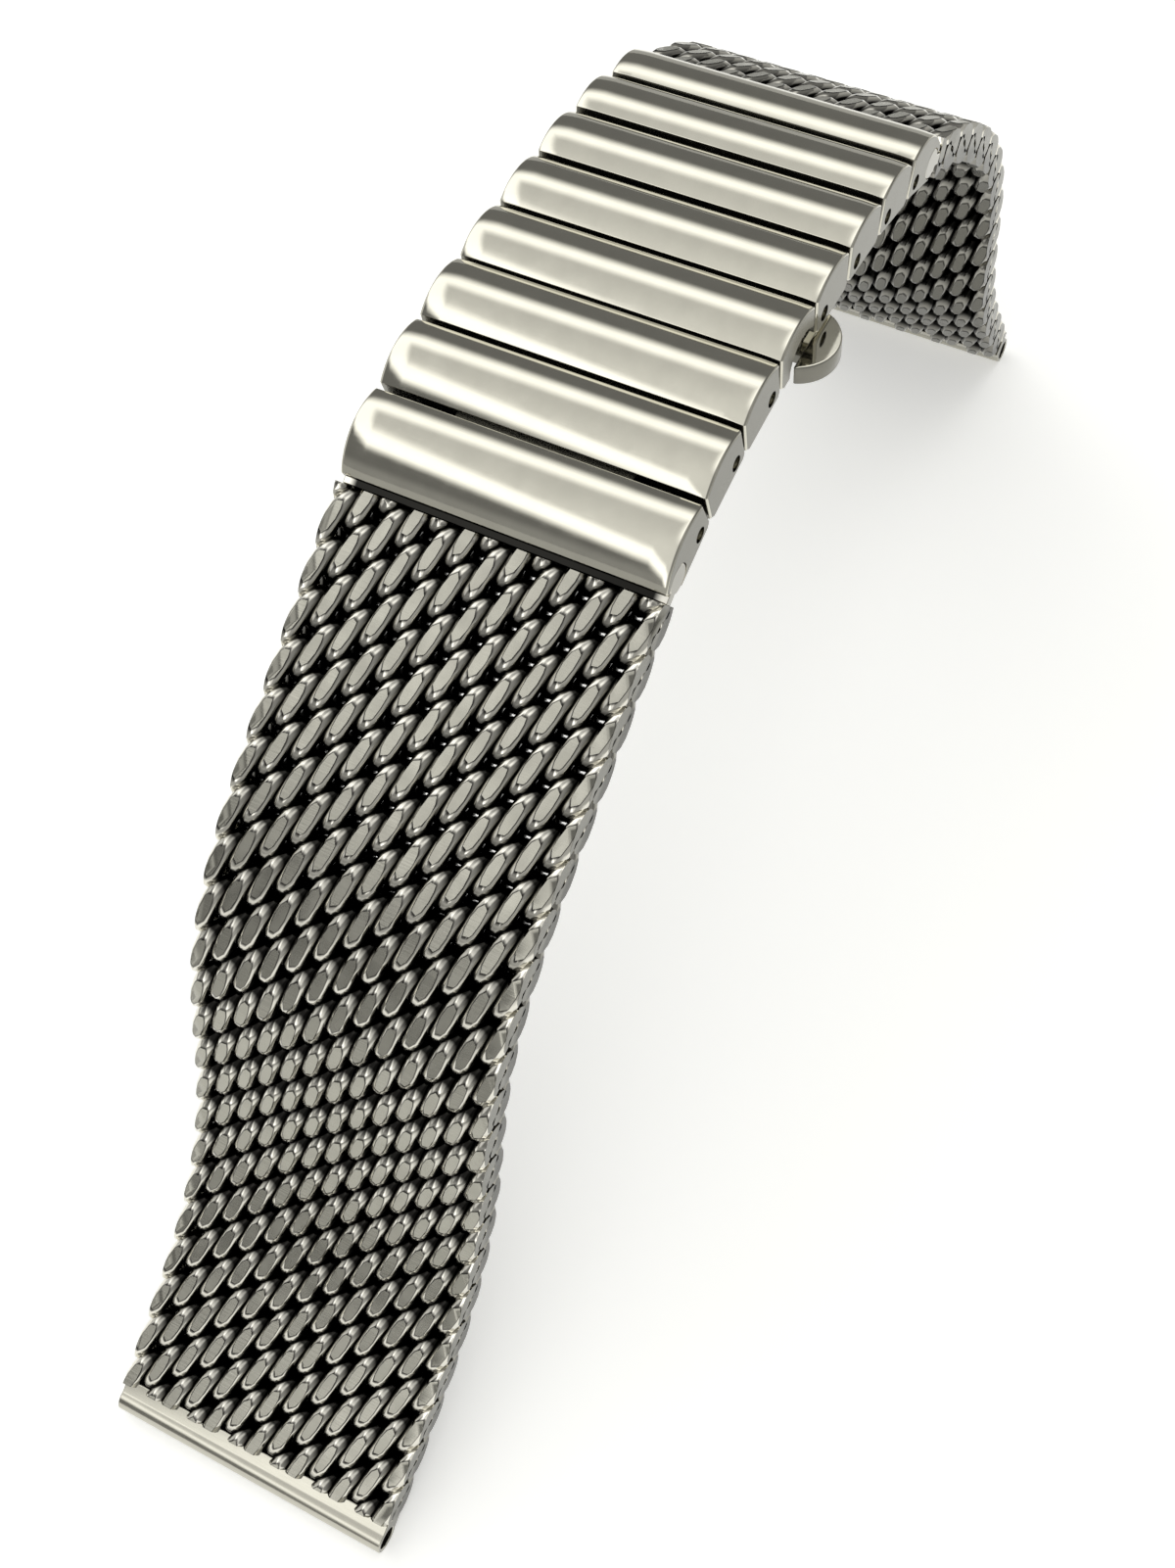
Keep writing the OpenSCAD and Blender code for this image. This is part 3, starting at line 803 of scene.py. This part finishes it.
def make_coils(side):
    """All coils of one half of the band, by the body or the joint that they go with."""
    sizes = bpy.context.scene.band_sizes
    points, marks, total = centre_line(side)
    base = bpy.data.meshes.new("centre_line")
    base.from_pydata([tuple(p) for p in points], [(i, i + 1) for i in range(len(points) - 1)], [])
    tree = bpy.data.node_groups.get("Woven coils") or coil_tree()
    end = total - TUBE_REACH
    steel_wire = finish_of("woven_mesh")
    for (kind, number), coils in coil_groups(marks, end, sizes.first_coil, sizes.coil_pitch).items():
        name = f"{side}_coils_{number}" if kind == "segment" else f"{side}_coils_joint_{number}"
        obj = grown(name, tree, base, {
            "First Coil": sizes.first_coil + coils[0] * sizes.coil_pitch,
            "Coil Count": len(coils),
            "Shifted First": coils[0] % 2,
            "Coil Pitch": sizes.coil_pitch,
            "Turn Length": sizes.turn_length,
            "Wire Radius": sizes.wire_radius,
            "Loop Reach": sizes.loop_reach,
            "Loop Half Height": sizes.loop_half,
            "Ground Half Height": MESH_HALF,
            "Half Width": HALF_WIDTH,
            "Start Cut": MESH_START,
            "End Cut": end,
            "Across": (0.0, float(SIDES[side]), 0.0),
            "Turn Steps": sizes.turn_steps,
            "Wire Sides": sizes.wire_sides,
            "Steel": steel_wire,
        })
        body = f"{side}_mesh_{number}"
        if kind == "segment":
            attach(obj, body)
            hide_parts(body)
        else:
            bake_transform(obj)
    bpy.data.meshes.remove(base)


def spring_tree():
    """The tree that winds a round compression spring along +Z."""
    tree = bpy.data.node_groups.new("Wound spring", "GeometryNodeTree")
    tree.interface.new_socket(name="Base", in_out="INPUT", socket_type="NodeSocketGeometry")
    for name in ("Turns", "Radius", "Length", "Wire Radius"):
        tree.interface.new_socket(name=name, in_out="INPUT", socket_type="NodeSocketFloat")
    tree.interface.new_socket(name="Steel", in_out="INPUT", socket_type="NodeSocketMaterial")
    tree.interface.new_socket(name="Spring", in_out="OUTPUT", socket_type="NodeSocketGeometry")
    given = add_node(tree, "NodeGroupInput").outputs
    spiral = add_node(tree, "GeometryNodeCurveSpiral", {
        "Resolution": 18, "Rotations": given["Turns"], "Start Radius": given["Radius"],
        "End Radius": given["Radius"], "Height": given["Length"]})
    ring = add_node(tree, "GeometryNodeCurvePrimitiveCircle", {
        "Resolution": 8, "Radius": given["Wire Radius"]})
    wire = add_node(tree, "GeometryNodeCurveToMesh", {
        "Curve": spiral, "Profile Curve": ring, "Fill Caps": True})
    wire = add_node(tree, "GeometryNodeSetShadeSmooth", {"Geometry": wire, "Shade Smooth": True})
    wire = add_node(tree, "GeometryNodeRealizeInstances", {"Geometry": wire})
    wire = add_node(tree, "GeometryNodeSetMaterial", {"Geometry": wire, "Material": given["Steel"]})
    add_node(tree, "NodeGroupOutput", {"Spring": wire})
    return tree


# Operators, one for each piece or group of like pieces

class BAND_OT_links(bpy.types.Operator):
    """Make the eight polished bar links"""

    bl_idname = "band.links"
    bl_label = "Polished links"

    def execute(self, context):
        for side in SIDES:
            for number in range(1, LINKS + 1):
                make_link(side, number)
        return {"FINISHED"}


class BAND_OT_pins(bpy.types.Operator):
    """Make the link pins and the two arm pins"""

    bl_idname = "band.pins"
    bl_label = "Pins"

    def execute(self, context):
        for side in SIDES:
            for number in range(1, LINKS + 1):
                link = f"{side}_link_{number}"
                make_pin(f"{side}_pin_rod_{number}", joint_at(link + "_hinge"), PIN_R,
                         HALF_WIDTH - PIN_RECESS - PIN_SHORTER, link, f"{side}_link_pin_{number}")
            low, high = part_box(side + "_arm_pin")
            half = (high[1] - low[1]) / 2 - PIN_SHORTER
            make_pin(side + "_arm_pin_rod", joint_at(side + "_arm_hinge"), HINGE_PIN_R, half,
                     "clasp", side + "_arm_pin")
        return {"FINISHED"}


class BAND_OT_clasp(bpy.types.Operator):
    """Dress the clasp's base plate, latch housing, cover and two folding arms"""

    bl_idname = "band.clasp"
    bl_label = "Clasp"

    def execute(self, context):
        edge = context.scene.band_sizes.clasp_edge
        dressed("clasp_base", "clasp_plate", "clasp", edge, "clasp_steel")
        dressed("latch_housing", "latch_block", "clasp", edge, "clasp_steel")
        dressed("latch_cover", "latch_lid", "clasp", edge, "polished_link")
        for side in SIDES:
            dressed(side + "_arm", side + "_folding_arm", side + "_arm", edge, "clasp_steel")
        return {"FINISHED"}


class BAND_OT_pushers(bpy.types.Operator):
    """Make the two half-moon buttons and their springs"""

    bl_idname = "band.pushers"
    bl_label = "Buttons and springs"

    def execute(self, context):
        sizes = context.scene.band_sizes
        tree = spring_tree()
        for name, sign in (("right", 1), ("left", -1)):
            pusher = "pusher_" + name
            button = dressed(pusher, "button_" + name, pusher, sizes.button_edge, "polished_link", 3)
            # The button's side walls are ground, and painted darker in colour: painted shade
            mark_ground_and_shade(button, lambda normal: abs(normal.z) < 0.5)
            low, high = (Vector(corner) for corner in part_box("pusher_spring_" + name))
            middle = (low + high) / 2
            radius = (high.z - low.z) / 2 - SPRING_WIRE_R
            span = high.y - low.y - 2 * SPRING_WIRE_R
            base = bpy.data.meshes.new("spring_base")
            base.from_pydata([(0, 0, 0)], [], [])
            obj = grown("button_spring_" + name, tree, base, {
                "Turns": float(sizes.spring_turns), "Radius": radius, "Length": span,
                "Wire Radius": SPRING_WIRE_R, "Steel": finish_of("spring_steel")})
            bpy.data.meshes.remove(base)
            lay = Matrix.Rotation(math.radians(90), 4, "X") @ Matrix.Translation((0, 0, -span / 2))
            obj.data.transform(Matrix.Translation(middle) @ lay)
            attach(obj, "clasp")
            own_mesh(obj)
            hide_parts("pusher_spring_" + name)
        return {"FINISHED"}


class BAND_OT_ends(bpy.types.Operator):
    """Dress the bars that hook the mesh to the end links, and the two lug tubes

    A bar lies deep in the mesh, so it takes the wire's painted shade of the depths: nearly black, but near the
    band's sides.
    """

    bl_idname = "band.ends"
    bl_label = "Hook bars and lug tubes"

    def execute(self, context):
        edge = context.scene.band_sizes.clasp_edge
        for side in SIDES:
            bar = dressed(side + "_mesh_bar", side + "_hook_bar", side + "_mesh_1", edge, "woven_mesh")
            # Painted shade: with no height stored, the bar is painted nearly as dark as the wire's depths, and
            # lighter only near the band's sides
            place = bar.data.attributes.new("flat_place", "FLOAT_VECTOR", "POINT")
            for point, stored in zip(bar.data.vertices, place.data):
                stored.vector = (0.0, point.co.y, 0.0)
            last = f"{side}_mesh_{SEGMENTS[side]}"
            tube = dressed(side + "_lug_tube", side + "_end_tube", last, edge, "polished_link")
            # The tube's ends are ground; all its faces are a little duller and painted darker, its ends the most:
            # painted shade
            mark_ground_and_shade(tube, lambda normal: 1.0 if abs(normal.y) > SQUARE_ON else 0.35)
        return {"FINISHED"}


class BAND_OT_coils(bpy.types.Operator):
    """Weave the mesh of both halves from ground coils"""

    bl_idname = "band.coils"
    bl_label = "Woven mesh"

    def execute(self, context):
        for side in SIDES:
            make_coils(side)
        return {"FINISHED"}


class BAND_OT_stage(bpy.types.Operator):
    """Set the pale floor, the studio tent that lights the band, and the camera"""

    bl_idname = "band.stage"
    bl_label = "Stage"

    def execute(self, context):
        make_floor()
        make_tent()
        make_camera()
        return {"FINISHED"}


# Stage

def make_floor():
    """A plain pale floor. In the band's reflections it is greyer from a little way off."""
    half, low = 4.0, -0.02 * MM
    middle, pale_to, grey_from, grey = (-0.022, -0.022, 0.0), 0.098, 0.18, 0.4
    own_share = 0.42
    corners = [(-half, -half, low), (half, -half, low), (half, half, low), (-half, half, low)]
    mesh = bpy.data.meshes.new("floor")
    mesh.from_pydata(corners, [], [(0, 1, 2, 3)])
    floor = put("floor", mesh)
    material = bpy.data.materials.new("Pale floor")
    material.use_nodes = True
    tree = material.node_tree
    tree.nodes.clear()
    place = add_node(tree, "ShaderNodeTexCoord")
    away = add_node(tree, "ShaderNodeVectorMath", {
        0: place.outputs["Object"], 1: middle}, operation="DISTANCE")
    # Painted shade: a little way off the band the floor's colour greys, except for camera rays, so the band
    # reflects a darker floor there
    fade = add_node(tree, "ShaderNodeMapRange", {
        "Value": away.outputs["Value"], "From Min": pale_to, "From Max": grey_from,
        "To Min": 1.0, "To Max": grey}, interpolation_type="SMOOTHSTEP")
    path = add_node(tree, "ShaderNodeLightPath")
    fade = add_node(tree, "ShaderNodeMath", {
        0: fade, 1: path.outputs["Is Camera Ray"]}, operation="MAXIMUM")
    colour_here = add_node(tree, "ShaderNodeVectorMath", {
        0: tuple(bpy.context.scene.band_colours.floor), "Scale": fade}, operation="SCALE")
    matt = add_node(tree, "ShaderNodeBsdfDiffuse", {"Color": colour_here})
    seen = add_node(tree, "ShaderNodeMath", {
        0: path.outputs["Is Camera Ray"], 1: path.outputs["Is Glossy Ray"]}, operation="MAXIMUM")
    seen = add_node(tree, "ShaderNodeMath", {
        0: seen, 1: path.outputs["Is Transmission Ray"]}, operation="MAXIMUM")
    share = add_node(tree, "ShaderNodeMath", {0: seen, 1: own_share}, operation="MULTIPLY")
    glow = add_node(tree, "ShaderNodeEmission", {"Color": colour_here, "Strength": share})
    surface = add_node(tree, "ShaderNodeAddShader", {0: matt, 1: glow})
    add_node(tree, "ShaderNodeOutputMaterial", {"Surface": surface})
    mesh.materials.append(material)


def make_tent():
    """A pale studio tent, which is all the light there is.

    It is dark low down behind and in front, with a plain ceiling between, and has four windows: a
    strip over the back, one over the left of the ceiling, one over its right, and one far left.
    A place in it is told by its lean, the angle from straight up towards the front, and by its
    direction across the band. The camera sees plain white in its place.
    """
    base, ceiling_low, window_gain = 0.19, 0.58, 0.95
    world = bpy.data.worlds.new("Studio tent")
    bpy.context.scene.world = world
    world.use_nodes = True
    tree = world.node_tree
    tree.nodes.clear()
    place = add_node(tree, "ShaderNodeTexCoord")
    apart = add_node(tree, "ShaderNodeSeparateXYZ", {"Vector": place.outputs["Generated"]})
    across_band = apart.outputs["Y"]
    lean = add_node(tree, "ShaderNodeMath", {
        0: apart.outputs["X"], 1: apart.outputs["Z"]}, operation="ARCTAN2")
    aside = add_node(tree, "ShaderNodeVectorMath", {
        0: place.outputs["Generated"], 1: (0.168, -0.877, -0.451)}, operation="DOT_PRODUCT")

    def ramp(value, start, end, low=0.0, high=1.0):
        return add_node(tree, "ShaderNodeMapRange", {
            "Value": value, "From Min": start, "From Max": end, "To Min": low, "To Max": high},
            interpolation_type="SMOOTHSTEP")

    def both(a, b, operation="MULTIPLY"):
        return add_node(tree, "ShaderNodeMath", {0: a, 1: b}, operation=operation)

    deg = math.radians
    over_back = ramp(lean, deg(-58), deg(-37))
    skew = both(both(across_band, 0.4, "ADD"), 2.2)
    front_edge = both(lean, skew, "SUBTRACT")
    over_front = ramp(front_edge, deg(38), deg(56), 1.0, 0.0)
    far_right = ramp(across_band, 0.2, 0.45, 1.0, 0.15)
    ceiling = both(both(over_back, over_front), far_right)
    strip = both(both(over_back, far_right), ramp(lean, deg(-35), deg(-18), 1.0, 0.0))
    side = both(ceiling, ramp(aside.outputs["Value"], -0.03, 0.05))
    right = both(both(ceiling, ramp(across_band, -0.16, 0.05)), ramp(lean, deg(-5), deg(20), 1.0, 0.0))
    left = both(ramp(across_band, -0.66, -0.82), 0.6)
    window = both(both(strip, side, "MAXIMUM"), both(right, left, "MAXIMUM"), "MAXIMUM")
    forward = both(ramp(lean, deg(-20), deg(34)), 0.2)
    horizon = both(ramp(lean, deg(66), deg(84)), 0.14)
    level = both(both(ceiling, both(forward, ceiling_low, "ADD")), both(window, window_gain), "ADD")
    level = both(both(level, horizon, "ADD"), base, "ADD")
    path = add_node(tree, "ShaderNodeLightPath")
    level = add_node(tree, "ShaderNodeMapRange", {
        "Value": path.outputs["Is Camera Ray"], "From Min": 0.0, "From Max": 1.0,
        "To Min": level, "To Max": 1.0})
    light = add_node(tree, "ShaderNodeBackground", {"Color": (*linear("#FCFCFA"), 1), "Strength": level})
    add_node(tree, "ShaderNodeOutputWorld", {"Surface": light})
    bpy.context.scene.view_settings.view_transform = "Standard"


def make_camera():
    """The camera at the photograph's place."""
    data = bpy.data.cameras.new("camera")
    data.sensor_width = CAMERA_SENSOR
    data.lens = CAMERA_LENS
    data.clip_start = 0.005
    camera = bpy.data.objects.new("camera", data)
    right = Vector(CAMERA_RIGHT)
    back = Vector(CAMERA_BACK).normalized()
    up = back.cross(right).normalized()
    right = up.cross(back)
    turn = Matrix((right, up, back)).transposed().to_4x4()
    camera.matrix_world = Matrix.Translation(Vector(CAMERA_AT) * MM) @ turn
    bpy.context.scene.collection.objects.link(camera)
    bpy.context.scene.camera = camera


class BAND_PT_panel(bpy.types.Panel):
    """The band's pieces, sizes and colours"""

    bl_idname = "BAND_PT_panel"
    bl_label = "Woven watch band"
    bl_space_type = "VIEW_3D"
    bl_region_type = "UI"
    bl_category = "Band"

    def draw(self, context):
        for operator in OPERATORS:
            self.layout.operator(operator.bl_idname)
        for group in (context.scene.band_sizes, context.scene.band_colours):
            column = self.layout.column(align=True)
            for key in group.bl_rna.properties.keys():
                if key not in {"rna_type", "name"}:
                    column.prop(group, key)


OPERATORS = (
    BAND_OT_links, BAND_OT_pins, BAND_OT_clasp, BAND_OT_pushers, BAND_OT_ends, BAND_OT_coils, BAND_OT_stage)
CLASSES = (BandSizes, BandColours, *OPERATORS, BAND_PT_panel)


def register():
    """Registers the classes and gives the scene its sizes and colours."""
    for each in CLASSES:
        bpy.utils.register_class(each)
    bpy.types.Scene.band_sizes = PointerProperty(type=BandSizes)
    bpy.types.Scene.band_colours = PointerProperty(type=BandColours)


def unregister():
    """Takes back all that register added."""
    del bpy.types.Scene.band_colours
    del bpy.types.Scene.band_sizes
    for each in reversed(CLASSES):
        bpy.utils.unregister_class(each)


def main():
    """Makes the whole band and its stage."""
    register()
    bpy.ops.band.links()
    bpy.ops.band.pins()
    bpy.ops.band.clasp()
    bpy.ops.band.pushers()
    bpy.ops.band.ends()
    bpy.ops.band.coils()
    bpy.ops.band.stage()


if __name__ == "__main__":
    main()
